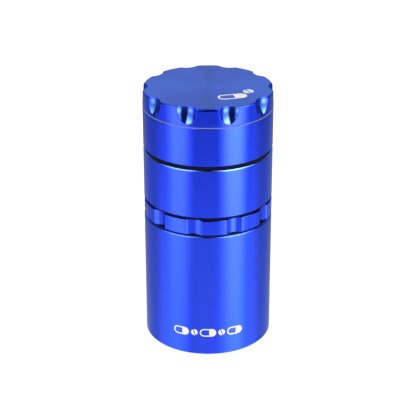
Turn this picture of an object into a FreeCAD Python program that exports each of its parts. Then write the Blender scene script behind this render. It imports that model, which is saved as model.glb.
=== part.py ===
import FreeCAD, Part
import os
import Sketcher

# Twist crusher for tablets, in five stacked sections on one upright axis, all sizes in mm.
# From the foot up: storage jar, scalloped powder tray, sieve chamber, grinding tray, lid.
# The jar stands on Z = 0 and the common axis is Z. Each section above the jar has a threaded
# neck that screws into the rim below it, with a flat rubber seal ring in the gap between them.

DIMENSIONS = (
    # outer body
    ("body_radius", 28.0, "outside radius of every section"),
    ("rim_chamfer", 0.65, "outer chamfer on each upper rim"),
    ("edge_break", 0.15, "small chamfer on the lower outer edges"),
    ("foot_chamfer", 0.5, "chamfer round the foot of the jar"),
    # heights of the sections, and the gaps that show between them
    ("jar_height", 57.4, "storage jar, foot to rim"),
    ("jar_gap", 0.9, "jar rim to powder tray"),
    ("chamber_gap", 1.4, "powder tray rim to chamber"),
    ("chamber_height", 21.7, "chamber, shoulder to rim"),
    ("tray_gap", 1.8, "chamber rim to grinding tray"),
    ("tray_height", 16.85, "grinding tray, shoulder to rim"),
    ("seam_gap", 0.55, "grinding tray rim to lid"),
    ("lid_height", 8.0, "lid, base to top face"),
    # threads: one 60 degree profile for all three necks
    ("thread_pitch", 1.5, "rise in one turn"),
    ("thread_turns", 4.0, "neck length in turns"),
    ("thread_clearance", 0.2, "radial clearance, neck to rim"),
    ("thread_play", 0.15, "axial clearance on each flank"),
    ("rim_wall", 2.8, "wall outside the rim thread"),
    ("neck_wall", 1.6, "wall inside the neck thread"),
    # storage jar and powder tray
    ("jar_floor", 3.0, "thickness of the jar floor"),
    ("jar_fillet", 2.0, "fillet round the jar floor inside"),
    ("web_thickness", 1.05, "web between the two threads of the powder tray"),
    ("dish_floor", 1.8, "thickness of the powder tray floor"),
    ("dish_fillet", 1.5, "fillet round the powder dish"),
    ("scallop_count", 10.0, "finger scallops round the powder tray"),
    ("scallop_radius", 6.2, "radius of the scallop cutter"),
    ("scallop_depth", 1.3, "depth of each scallop"),
    ("scallop_start", 5.6, "angle of the first scallop from +X"),
    # sieve, seated on a ledge in the chamber and held by a snap ring
    ("ledge_thickness", 2.0, "ledge above the chamber shoulder"),
    ("sieve_clearance", 0.1, "sieve parts to the chamber bore"),
    ("washer_thickness", 0.6, "support washer under the sieve"),
    ("mesh_thickness", 0.3, "sieve cloth"),
    ("snap_thickness", 1.0, "snap ring"),
    ("snap_width", 2.0, "radial width of the snap ring"),
    ("snap_depth", 0.6, "groove depth for the snap ring"),
    ("snap_clearance", 0.1, "snap ring to the top and the bottom of its groove"),
    ("snap_opening", 9.0, "gap between the ends of the snap ring"),
    # grinding tray and lid
    ("cup_depth", 6.25, "grinding tray rim to its floor"),
    ("plate_thickness", 3.5, "perforated floor"),
    ("lid_thickness", 4.0, "lid plate"),
    ("lid_fillet", 0.9, "rounding of the top edge"),
    ("spigot_depth", 4.0, "spigot below the lid base"),
    ("spigot_wall", 1.2, "wall of the spigot"),
    ("spigot_clearance", 0.2, "spigot to the cup"),
    ("flute_count", 10.0, "finger flutes round the lid"),
    ("flute_radius", 5.8, "radius of the round across a flute"),
    ("flute_depth", 2.4, "depth of a flute at the top face"),
    ("flute_drop", 7.0, "height over which a flute runs out"),
    # teeth, magnets and drop holes
    ("boss_radius", 6.6, "centre bosses that hold the magnets"),
    ("tooth_clearance", 0.8, "between one ring of teeth and the next"),
    ("tooth_length", 4.4, "tooth, point to point round the ring"),
    ("tooth_taper", 2.0, "draft of the tooth sides"),
    ("tip_clearance", 1.0, "tooth tips to the opposite floor"),
    ("magnet_radius", 4.5, "both magnets"),
    ("magnet_thickness", 2.5, "both magnets"),
    ("magnet_fit", 0.05, "gap round a magnet, and its depth below the boss face"),
    ("magnet_gap", 0.4, "between the two bosses"),
    ("hole_radius", 1.8, "drop holes"),
    # seal rings and glide ring
    ("seal_recess", 0.5, "seal rings inside the body surface"),
    ("seal_fit", 0.3, "seal ring to the neck"),
    ("seat_clearance", 0.03, "above and below each seal and glide ring"),
    ("glide_recess", 0.1, "glide ring inside the body surface"),
    ("glide_fit", 0.4, "glide ring to the spigot"),
)

doc = FreeCAD.newDocument("twist_crusher")
sheet = doc.addObject("Spreadsheet::Sheet", "dims")
for row, (alias, size, note) in enumerate(DIMENSIONS, 1):
    sheet.set(f"A{row}", alias)
    sheet.set(f"B{row}", str(size))
    sheet.set(f"C{row}", note)
    sheet.setAlias(f"B{row}", alias)
doc.recompute()

# Sizes that follow from the driving dimensions, as expressions on the sheet.
RADIUS = "dims.body_radius"
PITCH = "dims.thread_pitch"
# A 60 degree thread is 5/8 of its sharp height deep, with flats of 1/8 and 1/4 pitch.
FLANK = "tan(30)"
THREAD_DEPTH = f"({PITCH} * 5 / 16 / {FLANK})"
RIM_MAJOR = f"({RADIUS} - dims.rim_wall)"
BORE = f"({RIM_MAJOR} - {THREAD_DEPTH})"
NECK_MAJOR = f"({RIM_MAJOR} - dims.thread_clearance)"
NECK_MINOR = f"({NECK_MAJOR} - {THREAD_DEPTH})"
NECK_INNER = f"({NECK_MINOR} - dims.neck_wall)"
NECK_LENGTH = f"({PITCH} * dims.thread_turns)"
# Both threads start inside a relief groove a little wider than one pitch.
RELIEF = f"({PITCH} * 1.2)"
RELIEF_CUT = 0.04
NECK_RELIEF = f"({NECK_MINOR} - {RELIEF_CUT})"
RIM_RELIEF = f"({RIM_MAJOR} + {RELIEF_CUT})"
# From a shoulder down to the middle and to the floor of the relief groove in the rim below.
REACH = f"({RELIEF} / 2 - {PITCH} / 2 + {NECK_LENGTH})"
FULL_REACH = f"({REACH} + {RELIEF} / 2)"

POWDER_RING = f"(dims.web_thickness + {FULL_REACH} - dims.chamber_gap)"
POWDER_SHOULDER = "(dims.jar_height + dims.jar_gap)"
POWDER_TOP = f"({POWDER_SHOULDER} + {POWDER_RING})"
CHAMBER_SHOULDER = f"({POWDER_TOP} + dims.chamber_gap)"
CHAMBER_TOP = f"({CHAMBER_SHOULDER} + dims.chamber_height)"
TRAY_SHOULDER = f"({CHAMBER_TOP} + dims.tray_gap)"
TRAY_TOP = f"({TRAY_SHOULDER} + dims.tray_height)"
LID_BASE = f"({TRAY_TOP} + dims.seam_gap)"

# Sieve seat, measured from the end of the chamber's neck.
LEDGE = f"({NECK_LENGTH} + dims.ledge_thickness)"
SIEVE_RADIUS = f"({BORE} - dims.sieve_clearance)"
MESH_SEAT = f"({LEDGE} + dims.washer_thickness)"
SNAP_SEAT = f"({MESH_SEAT} + dims.mesh_thickness)"
SNAP_GROOVE = f"({BORE} + dims.snap_depth)"
SNAP_TOP = f"({SNAP_SEAT} + dims.snap_thickness + dims.snap_clearance)"

# The teeth share the space between the magnet bosses and the lid's spigot, in four rings:
# the lid has rings 0 and 2 and the tray has rings 1 and 3, so they pass between each other.
SPIGOT_RADIUS = f"({BORE} - dims.spigot_clearance)"
SPIGOT_INNER = f"({SPIGOT_RADIUS} - dims.spigot_wall)"
RING_STEP = f"(({SPIGOT_INNER} - dims.boss_radius) / 4)"
TOOTH_HALF = f"(({RING_STEP} - dims.tooth_clearance) / 2)"
LID_CAVITY = "(dims.lid_height - dims.lid_thickness)"
CRUSH_HEIGHT = f"(dims.cup_depth + dims.seam_gap + {LID_CAVITY})"
TOOTH_HEIGHT = f"({CRUSH_HEIGHT} - dims.tip_clearance)"
BOSS_HEIGHT = f"(({CRUSH_HEIGHT} - dims.magnet_gap) / 2)"
MAGNET_POCKET = "(dims.magnet_radius + dims.magnet_fit)"
MAGNET_DEPTH = "(dims.magnet_thickness + dims.magnet_fit)"
MAGNET_EDGE = 0.25
TRAY_RIM = f"({NECK_LENGTH} + dims.tray_height)"
TRAY_FLOOR = f"({TRAY_RIM} - dims.cup_depth)"
TRAY_PLATE = f"({TRAY_FLOOR} - dims.plate_thickness)"
LID_TOP = "(dims.spigot_depth + dims.lid_height)"
LID_CEILING = f"({LID_TOP} - dims.lid_thickness)"


def ring_radius(ring):
    return f"(dims.boss_radius + {RING_STEP} * {ring + 0.5})"


def value(expression):
    return float(sheet.evalExpression(expression))


def origin_feature(body, role):
    return next(item for item in body.Origin.OriginFeatures if item.Role == role)


def new_body(label, height):
    """Body whose own origin stands at the given height on the common axis."""
    body = doc.addObject("PartDesign::Body", label)
    body.Label = label
    body.setExpression("Placement.Base.z", height)
    return body


def outline(body, name, corners, plane="XZ_Plane"):
    """Closed sketch with straight sides; every corner is held by two expressions."""
    sketch = body.newObject("Sketcher::SketchObject", name)
    sketch.AttachmentSupport = (origin_feature(body, plane), [""])
    sketch.MapMode = "FlatFace"
    places = [FreeCAD.Vector(value(across), value(up), 0) for across, up in corners]
    for start, end in zip(places, places[1:] + places[:1]):
        sketch.addGeometry(Part.LineSegment(start, end), False)
    for side, corner in enumerate(corners):
        following = (side + 1) % len(corners)
        sketch.addConstraint(Sketcher.Constraint("Coincident", side, 2, following, 1))
        for kind, axis, distance in zip(("DistanceX", "DistanceY"), (-2, -1), corner):
            if distance == "0":
                sketch.addConstraint(Sketcher.Constraint("PointOnObject", side, 1, axis))
                continue
            held = Sketcher.Constraint(kind, -1, 1, side, 1, value(distance))
            sketch.setExpression(f"Constraints[{sketch.addConstraint(held)}]", distance)
    return sketch


def turned(body, name, corners):
    """Outline turned once round the axis, as on a lathe; its seam lies on +Y, clear of the cuts."""
    sketch = outline(body, f"{name}_profile", corners, "YZ_Plane")
    solid = body.newObject("PartDesign::Revolution", name)
    solid.Profile = sketch
    solid.ReferenceAxis = (sketch, ["V_Axis"])
    solid.Angle = 360
    doc.recompute()
    return solid


def round_edges(body, base, name, size, kind, places):
    """Fillet or Chamfer on the whole circles at the given (radius, height) pairs."""
    wanted = [(value(radius), value(height)) for radius, height in places]
    found = []
    for index, edge in enumerate(base.Shape.Edges, 1):
        if not isinstance(edge.Curve, Part.Circle):
            continue
        at = (edge.Curve.Radius, edge.Curve.Center.z)
        if any(abs(at[0] - r) < 0.001 and abs(at[1] - z) < 0.001 for r, z in wanted):
            found.append(f"Edge{index}")
    feature = body.newObject(f"PartDesign::{kind}", name)
    feature.Base = (base, found)
    feature.setExpression("Radius" if kind == "Fillet" else "Size", size)
    doc.recompute()
    return feature


def cut_thread(body, name, corners, travel, downward):
    """Thread groove: an outline carried along a right-hand helix."""
    sketch = outline(body, f"{name}_profile", corners)
    groove = body.newObject("PartDesign::SubtractiveHelix", name)
    groove.Profile = sketch
    groove.ReferenceAxis = (sketch, ["V_Axis"])
    groove.Mode = "pitch-height-angle"
    groove.LeftHanded = False
    groove.Reversed = downward
    groove.setExpression("Pitch", PITCH)
    groove.setExpression("Height", travel)
    doc.recompute()
    return groove


def cut_neck_thread(body):
    """Outside thread of a neck whose end is at 0, from the relief groove down past the end."""
    middle = f"({NECK_LENGTH} - {RELIEF} / 2)"
    root = f"({PITCH} / 8)"
    mouth = f"({root} + {THREAD_DEPTH} * {FLANK})"
    outside = f"({NECK_MAJOR} + {PITCH} / 4)"
    corners = [
        (NECK_MINOR, f"{middle} - {root}"),
        (NECK_MAJOR, f"{middle} - {mouth}"),
        (outside, f"{middle} - {mouth}"),
        (outside, f"{middle} + {mouth}"),
        (NECK_MAJOR, f"{middle} + {mouth}"),
        (NECK_MINOR, f"{middle} + {root}"),
    ]
    cut_thread(body, f"{body.Label}_neck_thread", corners, f"{middle} + {PITCH}", True)


def cut_rim_thread(body, rim, gap):
    """Inside thread of a rim, in step with the neck that stands a gap above the rim."""
    middle = f"({rim} + {gap} - {REACH})"
    root = f"({PITCH} / 16 - dims.thread_clearance * {FLANK} + dims.thread_play)"
    mouth = f"({root} + {THREAD_DEPTH} * {FLANK})"
    inside = f"({BORE} - {PITCH} / 4)"
    corners = [
        (RIM_MAJOR, f"{middle} - {root}"),
        (BORE, f"{middle} - {mouth}"),
        (inside, f"{middle} - {mouth}"),
        (inside, f"{middle} + {mouth}"),
        (BORE, f"{middle} + {mouth}"),
        (RIM_MAJOR, f"{middle} + {root}"),
    ]
    travel = f"{REACH} - {gap} + {PITCH}"
    cut_thread(body, f"{body.Label}_rim_thread", corners, travel, False)


def rim_corners(rim, gap):
    """Outer chamfer, flat rim, lead-in and relief groove, from the outside to the bore."""
    lead = f"({THREAD_DEPTH} * {FLANK})"
    relief_floor = f"({rim} + {gap} - {FULL_REACH})"
    relief_top = f"({relief_floor} + {RELIEF})"
    return [
        (RADIUS, f"{rim} - dims.rim_chamfer"),
        (f"{RADIUS} - dims.rim_chamfer", rim),
        (RIM_RELIEF, rim),
        (BORE, f"{rim} - {lead}"),
        (BORE, relief_top),
        (RIM_RELIEF, relief_top),
        (RIM_RELIEF, relief_floor),
        (BORE, relief_floor),
    ]


def neck_corners():
    """Outside of a neck from its end at 0 up to the shoulder and the body wall."""
    lead = f"({THREAD_DEPTH} * {FLANK})"
    relief_floor = f"({NECK_LENGTH} - {RELIEF})"
    return [
        (NECK_RELIEF, "0"),
        (NECK_MAJOR, lead),
        (NECK_MAJOR, relief_floor),
        (NECK_RELIEF, relief_floor),
        (NECK_RELIEF, NECK_LENGTH),
        (f"{RADIUS} - dims.edge_break", NECK_LENGTH),
        (RADIUS, f"{NECK_LENGTH} + dims.edge_break"),
    ]


def cutter(body, kind, name, sizes, place, plane="XY_Plane"):
    """Cutter of the given kind and sizes, its axis square to the plane, at a place on the plane."""
    tool = body.newObject(f"PartDesign::Subtractive{kind}", name)
    tool.AttachmentSupport = (origin_feature(body, plane), [""])
    tool.MapMode = "FlatFace"
    for size, length in sizes.items():
        tool.setExpression(size, length)
    for axis, distance in zip("xyz", place):
        tool.setExpression(f"AttachmentOffset.Base.{axis}", distance)
    doc.recompute()
    return tool


def round_cutter(body, name, radius, length, place):
    """Cylindrical cutter standing upright at the given place."""
    return cutter(body, "Cylinder", name, {"Radius": radius, "Height": length}, place)


def repeat(body, feature, count):
    """The feature repeated evenly round the axis."""
    pattern = body.newObject("PartDesign::PolarPattern", f"{feature.Name}_ring")
    pattern.Originals = [feature]
    pattern.Axis = (origin_feature(body, "Z_Axis"), [""])
    pattern.Angle = 360
    pattern.setExpression("Occurrences", count)
    body.Tip = pattern
    doc.recompute()
    return pattern


def tooth_ring(body, name, ring, count, start, level, downward):
    """Ring of diamond teeth standing on, or hanging from, a level."""
    middle = ring_radius(ring)
    half_length = "dims.tooth_length / 2"
    corners = [
        (f"{middle} - {TOOTH_HALF}", "0"),
        (middle, f"-{half_length}"),
        (f"{middle} + {TOOTH_HALF}", "0"),
        (middle, half_length),
    ]
    sketch = outline(body, f"{name}_profile", corners, "XY_Plane")
    turn = FreeCAD.Rotation(FreeCAD.Vector(0, 0, 1), start)
    sketch.AttachmentOffset = FreeCAD.Placement(FreeCAD.Vector(), turn)
    sketch.setExpression("AttachmentOffset.Base.z", level)
    tooth = body.newObject("PartDesign::Pad", name)
    tooth.Profile = sketch
    tooth.Reversed = downward
    tooth.setExpression("Length", TOOTH_HEIGHT)
    tooth.setExpression("TaperAngle", "-dims.tooth_taper")
    doc.recompute()
    return repeat(body, tooth, str(count))


def make_storage_jar():
    body = new_body("storage_jar", "0")
    rim = "dims.jar_height"
    corners = [("0", "0"), (f"{RADIUS} - dims.foot_chamfer", "0"), (RADIUS, "dims.foot_chamfer")]
    corners += rim_corners(rim, "dims.jar_gap")
    corners += [(BORE, "dims.jar_floor"), ("0", "dims.jar_floor")]
    wall = turned(body, "jar_wall", corners)
    corner = [(BORE, "dims.jar_floor")]
    round_edges(body, wall, "jar_floor_fillet", "dims.jar_fillet", "Fillet", corner)
    cut_rim_thread(body, rim, "dims.jar_gap")
    return body


def make_powder_tray():
    body = new_body("powder_tray", f"{POWDER_SHOULDER} - {NECK_LENGTH}")
    rim = f"({NECK_LENGTH} + {POWDER_RING})"
    corners = [("0", "0")]
    corners += neck_corners() + rim_corners(rim, "dims.chamber_gap")
    step = f"({rim} + dims.chamber_gap - {FULL_REACH})"
    corners[-1] = (NECK_INNER, step)
    corners += [(NECK_INNER, "dims.dish_floor"), ("0", "dims.dish_floor")]
    dish = turned(body, "powder_dish", corners)
    corner = [(NECK_INNER, "dims.dish_floor")]
    round_edges(body, dish, "powder_dish_fillet", "dims.dish_fillet", "Fillet", corner)
    reach = f"({RADIUS} - dims.scallop_depth + dims.scallop_radius)"
    place = (
        f"{reach} * cos(dims.scallop_start)",
        f"{reach} * sin(dims.scallop_start)",
        f"{NECK_LENGTH} - dims.edge_break",
    )
    length = f"{POWDER_RING} + 2 * dims.edge_break"
    scallop = round_cutter(body, "scallop", "dims.scallop_radius", length, place)
    repeat(body, scallop, "dims.scallop_count")
    cut_neck_thread(body)
    cut_rim_thread(body, rim, "dims.chamber_gap")
    return body


def make_chamber():
    body = new_body("chamber", f"{CHAMBER_SHOULDER} - {NECK_LENGTH}")
    rim = f"({NECK_LENGTH} + dims.chamber_height)"
    corners = [(NECK_INNER, "0")]
    corners += neck_corners() + rim_corners(rim, "dims.tray_gap")
    corners += [
        (BORE, SNAP_TOP),
        (SNAP_GROOVE, SNAP_TOP),
        (SNAP_GROOVE, SNAP_SEAT),
        (BORE, SNAP_SEAT),
        (BORE, LEDGE),
        (NECK_INNER, LEDGE),
    ]
    turned(body, "chamber_wall", corners)
    cut_neck_thread(body)
    cut_rim_thread(body, rim, "dims.tray_gap")
    return body


def make_grinding_tray():
    body = new_body("grinding_tray", f"{TRAY_SHOULDER} - {NECK_LENGTH}")
    boss_top = f"({TRAY_FLOOR} + {BOSS_HEIGHT})"
    corners = [(NECK_INNER, "0")]
    corners += neck_corners()
    corners += [
        (RADIUS, f"{TRAY_RIM} - dims.edge_break"),
        (f"{RADIUS} - dims.edge_break", TRAY_RIM),
        (f"{BORE} + dims.edge_break", TRAY_RIM),
        (BORE, f"{TRAY_RIM} - dims.edge_break"),
        (BORE, TRAY_FLOOR),
        ("dims.boss_radius", TRAY_FLOOR),
        ("dims.boss_radius", boss_top),
        (MAGNET_POCKET, boss_top),
        (MAGNET_POCKET, f"{boss_top} - {MAGNET_DEPTH}"),
        ("0", f"{boss_top} - {MAGNET_DEPTH}"),
        ("0", TRAY_PLATE),
        (NECK_INNER, TRAY_PLATE),
    ]
    turned(body, "tray_wall", corners)
    for ring, count, start in ((1, 8, 22.5), (3, 14, 0)):
        tooth_ring(body, f"tray_teeth_{ring}", ring, count, start, TRAY_FLOOR, False)
    through = "dims.plate_thickness + 2 * dims.edge_break"
    for ring, count in ((0, 8), (2, 16)):
        place = (ring_radius(ring), "0", f"{TRAY_PLATE} - dims.edge_break")
        hole = round_cutter(body, f"drop_hole_{ring}", "dims.hole_radius", through, place)
        repeat(body, hole, str(count))
    cut_neck_thread(body)
    return body


def make_lid():
    body = new_body("lid", f"{LID_BASE} - dims.spigot_depth")
    boss_end = f"({LID_CEILING} - {BOSS_HEIGHT})"
    corners = [
        (SPIGOT_INNER, "0"),
        (f"{SPIGOT_RADIUS} - dims.edge_break", "0"),
        (SPIGOT_RADIUS, "dims.edge_break"),
        (SPIGOT_RADIUS, "dims.spigot_depth"),
        (f"{RADIUS} - dims.edge_break", "dims.spigot_depth"),
        (RADIUS, "dims.spigot_depth + dims.edge_break"),
        (RADIUS, LID_TOP),
        ("0", LID_TOP),
        ("0", f"{boss_end} + {MAGNET_DEPTH}"),
        (MAGNET_POCKET, f"{boss_end} + {MAGNET_DEPTH}"),
        (MAGNET_POCKET, boss_end),
        ("dims.boss_radius", boss_end),
        ("dims.boss_radius", LID_CEILING),
        (SPIGOT_INNER, LID_CEILING),
    ]
    plate = turned(body, "lid_plate", corners)
    top_edge = [(RADIUS, LID_TOP)]
    round_edges(body, plate, "lid_top_fillet", "dims.lid_fillet", "Fillet", top_edge)
    # A flute is left by a wheel with a round rim, its centre level with the top face and its sweep
    # such that the cut fades out at the foot of its drop.
    sweep = "((dims.flute_drop ^ 2 + dims.flute_depth ^ 2) / (2 * dims.flute_depth))"
    sizes = {
        "Radius1": f"{sweep} - dims.flute_radius",
        "Radius2": "dims.flute_radius",
        "Angle1": "-90",
        "Angle2": "90",
    }
    place = (f"{RADIUS} - dims.flute_depth + {sweep}", LID_TOP, "0")
    flute = cutter(body, "Torus", "flute", sizes, place, "XZ_Plane")
    repeat(body, flute, "dims.flute_count")
    for ring, count, start in ((0, 6, 30), (2, 10, 18)):
        tooth_ring(body, f"lid_teeth_{ring}", ring, count, start, LID_CEILING, True)
    return body


def make_ring(label, height, inner, outer, thickness, rounding=None):
    """Flat ring, with its four edges rounded where a rounding is given."""
    body = new_body(label, height)
    corners = [(inner, "0"), (outer, "0"), (outer, thickness), (inner, thickness)]
    ring = turned(body, f"{label}_section", corners)
    if rounding:
        places = [(radius, level) for radius in (inner, outer) for level in ("0", thickness)]
        round_edges(body, ring, f"{label}_rounding", rounding, "Fillet", places)
    return body


def make_seal(label, rim, gap):
    """Rubber ring round a neck, between the rim below and the shoulder above."""
    thickness = f"({gap} - 2 * dims.seat_clearance)"
    inner = f"({NECK_MINOR} + dims.seal_fit)"
    outer = f"({RADIUS} - dims.seal_recess)"
    rounding = f"{thickness} * 0.45"
    return make_ring(label, f"{rim} + dims.seat_clearance", inner, outer, thickness, rounding)


def make_magnet(label, height):
    body = new_body(label, height)
    disc = body.newObject("PartDesign::AdditiveCylinder", f"{label}_disc")
    disc.setExpression("Radius", "dims.magnet_radius")
    disc.setExpression("Height", "dims.magnet_thickness")
    doc.recompute()
    places = [("dims.magnet_radius", level) for level in ("0", "dims.magnet_thickness")]
    round_edges(body, disc, f"{label}_edge", str(MAGNET_EDGE), "Chamfer", places)
    return body


def make_sieve():
    """Washer, cloth and snap ring, stacked on the ledge inside the chamber."""
    base = f"{CHAMBER_SHOULDER} - {NECK_LENGTH}"
    inner = f"({NECK_INNER} + dims.sieve_clearance)"
    washer = make_ring(
        "sieve_washer", f"{base} + {LEDGE}", inner, SIEVE_RADIUS, "dims.washer_thickness"
    )
    mesh = new_body("sieve_mesh", f"{base} + {MESH_SEAT}")
    cloth = mesh.newObject("PartDesign::AdditiveCylinder", "sieve_cloth")
    cloth.setExpression("Radius", SIEVE_RADIUS)
    cloth.setExpression("Height", "dims.mesh_thickness")
    outer = f"({SNAP_GROOVE} - dims.snap_clearance)"
    seat = f"{base} + {SNAP_SEAT}"
    snap = make_ring(
        "sieve_snap_ring", seat, f"({outer} - dims.snap_width)", outer, "dims.snap_thickness"
    )
    slot = snap.newObject("PartDesign::SubtractiveBox", "snap_ring_opening")
    slot.AttachmentSupport = (origin_feature(snap, "XY_Plane"), [""])
    slot.MapMode = "FlatFace"
    slot.setExpression("Length", "dims.snap_opening")
    slot.setExpression("Width", RADIUS)
    slot.setExpression("Height", "dims.snap_thickness")
    slot.setExpression("AttachmentOffset.Base.x", "-dims.snap_opening / 2")
    doc.recompute()
    return [washer, mesh, snap]


parts = [
    make_storage_jar(),
    make_seal("jar_o_ring", "dims.jar_height", "dims.jar_gap"),
    make_powder_tray(),
    make_seal("chamber_o_ring", POWDER_TOP, "dims.chamber_gap"),
    make_chamber(),
    *make_sieve(),
    make_seal("tray_o_ring", CHAMBER_TOP, "dims.tray_gap"),
    make_grinding_tray(),
    make_magnet(
        "tray_magnet",
        f"{TRAY_TOP} - dims.cup_depth + {BOSS_HEIGHT} - {MAGNET_DEPTH}",
    ),
    make_ring(
        "glide_ring",
        f"{TRAY_TOP} + dims.seat_clearance",
        f"({SPIGOT_RADIUS} + dims.glide_fit)",
        f"({RADIUS} - dims.glide_recess)",
        "(dims.seam_gap - 2 * dims.seat_clearance)",
    ),
    make_lid(),
    make_magnet(
        "lid_magnet",
        f"{LID_BASE} + {LID_CAVITY} - {BOSS_HEIGHT} + dims.magnet_fit",
    ),
]

doc.recompute()
for item in doc.Objects:
    if "Invalid" in item.State or "Error" in item.State:
        raise RuntimeError(f"{item.Label} did not build: {item.State}")
for part in parts:
    if part.Shape.isNull() or not part.Shape.isValid() or len(part.Shape.Solids) != 1:
        raise RuntimeError(f"{part.Label} is not one sound solid")

os.makedirs("parts", exist_ok=True)
for part in parts:
    part.Shape.exportStep(f"parts/{part.Label}.step")
    box = part.Shape.BoundBox
    print(f"{part.Label:16s} z {box.ZMin:7.2f} to {box.ZMax:7.2f}  volume {part.Shape.Volume:9.1f}")
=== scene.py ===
import math
import bpy
import numpy as np
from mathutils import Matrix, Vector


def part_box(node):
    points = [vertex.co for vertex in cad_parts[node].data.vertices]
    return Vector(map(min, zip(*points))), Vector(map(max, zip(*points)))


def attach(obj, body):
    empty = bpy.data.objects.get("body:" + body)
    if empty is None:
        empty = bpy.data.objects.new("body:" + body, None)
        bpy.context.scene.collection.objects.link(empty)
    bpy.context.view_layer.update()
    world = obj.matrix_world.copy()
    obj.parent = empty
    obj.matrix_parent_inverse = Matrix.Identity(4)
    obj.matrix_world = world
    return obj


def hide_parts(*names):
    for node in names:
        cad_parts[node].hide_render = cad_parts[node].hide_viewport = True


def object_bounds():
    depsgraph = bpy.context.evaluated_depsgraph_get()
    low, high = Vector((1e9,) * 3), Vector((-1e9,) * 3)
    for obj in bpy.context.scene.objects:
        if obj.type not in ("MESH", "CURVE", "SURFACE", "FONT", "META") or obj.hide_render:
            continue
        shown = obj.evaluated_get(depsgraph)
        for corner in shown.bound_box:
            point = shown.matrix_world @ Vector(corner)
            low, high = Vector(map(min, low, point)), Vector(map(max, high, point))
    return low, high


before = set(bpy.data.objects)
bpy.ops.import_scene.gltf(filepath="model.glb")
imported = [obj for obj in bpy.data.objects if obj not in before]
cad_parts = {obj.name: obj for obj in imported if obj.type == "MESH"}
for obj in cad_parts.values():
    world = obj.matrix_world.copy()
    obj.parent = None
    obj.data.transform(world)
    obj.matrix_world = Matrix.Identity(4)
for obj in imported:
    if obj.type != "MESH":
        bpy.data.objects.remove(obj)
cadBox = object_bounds()
mm = 0.001
print("frame loaded:", len(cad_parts), "CAD nodes")

# Lengths below are in millimetres and become metres as a mesh is made.
# Heights come from the CAD nodes, and each piece keeps its own dictionary beside its code.


def heights(part):
    # Lowest and highest point of a CAD node.
    low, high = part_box(part)
    return low.z / mm, high.z / mm


stack = {
    "radius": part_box("storage_jar")[1].x / mm,
    "columns": 384,  # round the axis
    "softness": 0.07,  # radius left on an edge that looks sharp
    "rimChamfer": 0.65,
    "edgeBreak": 0.15,
    "bore": 24.388,
    "neckInner": 22.588,
}
bodyRadius, boreRadius, neckInner = stack["radius"], stack["bore"], stack["neckInner"]

thread = {
    "pitch": 1.5,
    "depth": 1.5 * math.sqrt(3) * 5 / 16,
    "rimMajor": 25.2,
    "clearance": 0.2,
    "play": 0.15,
    "turns": 4,
    "rowsPerTurn": 18,
    "reliefCut": 0.04,
}
thread["relief"] = thread["pitch"] * 1.2
thread["neckMajor"] = thread["rimMajor"] - thread["clearance"]
thread["neckMinor"] = thread["neckMajor"] - thread["depth"]
thread["neckRelief"] = thread["neckMinor"] - thread["reliefCut"]
thread["rimRelief"] = thread["rimMajor"] + thread["reliefCut"]
thread["neckLength"] = thread["pitch"] * thread["turns"]
thread["reach"] = thread["relief"] / 2 - thread["pitch"] / 2 + thread["neckLength"]
flank = math.tan(math.radians(30))


def rounded(corners, steps=3, loop=False):
    # Each corner (across, up, rounding) becomes an arc of that radius, tangent to both of its sides
    # and no longer than half of either; the ends of an open line stay where they are.
    places = np.array([corner[:2] for corner in corners], float)
    sizes = [corner[2] if len(corner) > 2 else stack["softness"] for corner in corners]
    count = len(places)
    made = []
    for index in range(count):
        here = places[index]
        if not loop and index in (0, count - 1):
            made.append(here[None])
            continue
        before = here - places[index - 1]
        after = places[(index + 1) % count] - here
        lengths = np.linalg.norm(before), np.linalg.norm(after)
        before, after = before / lengths[0], after / lengths[1]
        side = before[0] * after[1] - before[1] * after[0]
        turn = math.atan2(side, before @ after)
        if abs(turn) < 0.01 or sizes[index] == 0:
            made.append(here[None])
            continue
        reach = min(sizes[index] * math.tan(abs(turn) / 2), 0.49 * lengths[0], 0.49 * lengths[1])
        radius = reach / math.tan(abs(turn) / 2)
        inward = np.array((-before[1], before[0])) * math.copysign(1, turn)
        angle = abs(turn) * np.linspace(0, 1, steps + 1)[:, None]
        made.append(here - before * reach + radius * (np.sin(angle) * before + (1 - np.cos(angle)) * inward))
    return np.vstack(made)


def plainRows(corners, steps=3):
    # Rows of a turned surface with no thread: (radius, height, 0).
    line = rounded(corners, steps)
    return np.column_stack((line, np.zeros(len(line))))


def neckRows(shoulder):
    # Thread rows outside a neck, from its end up to the relief groove, inside the lead-in cone.
    low, high = shoulder - thread["neckLength"], shoulder - thread["relief"]
    up = np.linspace(low, high, int((high - low) / thread["pitch"] * thread["rowsPerTurn"]))
    cone = thread["neckRelief"] + (up - low) / flank
    return np.column_stack((np.minimum(cone, thread["neckMajor"]), up, np.full(len(up), -1.0)))


def rimRows(rim, shoulder):
    # Thread rows inside a rim, from its top down to the relief groove, outside the lead-in cone.
    low = shoulder - thread["reach"] + thread["relief"] / 2
    up = np.linspace(rim, low, int((rim - low) / thread["pitch"] * thread["rowsPerTurn"]))
    cone = thread["rimRelief"] - (rim - up) / flank
    return np.column_stack((np.maximum(cone, boreRadius), up, np.full(len(up), 1.0)))


def threadRadius(up, angle, shoulder, inRim):
    # Radius of a 60 degree thread: the distance along the axis to the nearest groove centre, whose
    # height grows by one pitch in a turn, sets how far the flank has risen from the groove's root.
    pitch = thread["pitch"]
    start = shoulder - (thread["reach"] if inRim else thread["relief"] / 2)
    share = (up - start) / pitch - angle / (2 * math.pi)
    away = np.abs((share + 0.5) % 1 - 0.5) * pitch
    if inRim:
        root = pitch / 16 - thread["clearance"] * flank + thread["play"]
        return np.clip(thread["rimMajor"] - (away - root) / flank, boreRadius, thread["rimMajor"])
    return np.clip(thread["neckMinor"] + (away - pitch / 8) / flank, thread["neckMinor"], thread["neckMajor"])


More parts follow.
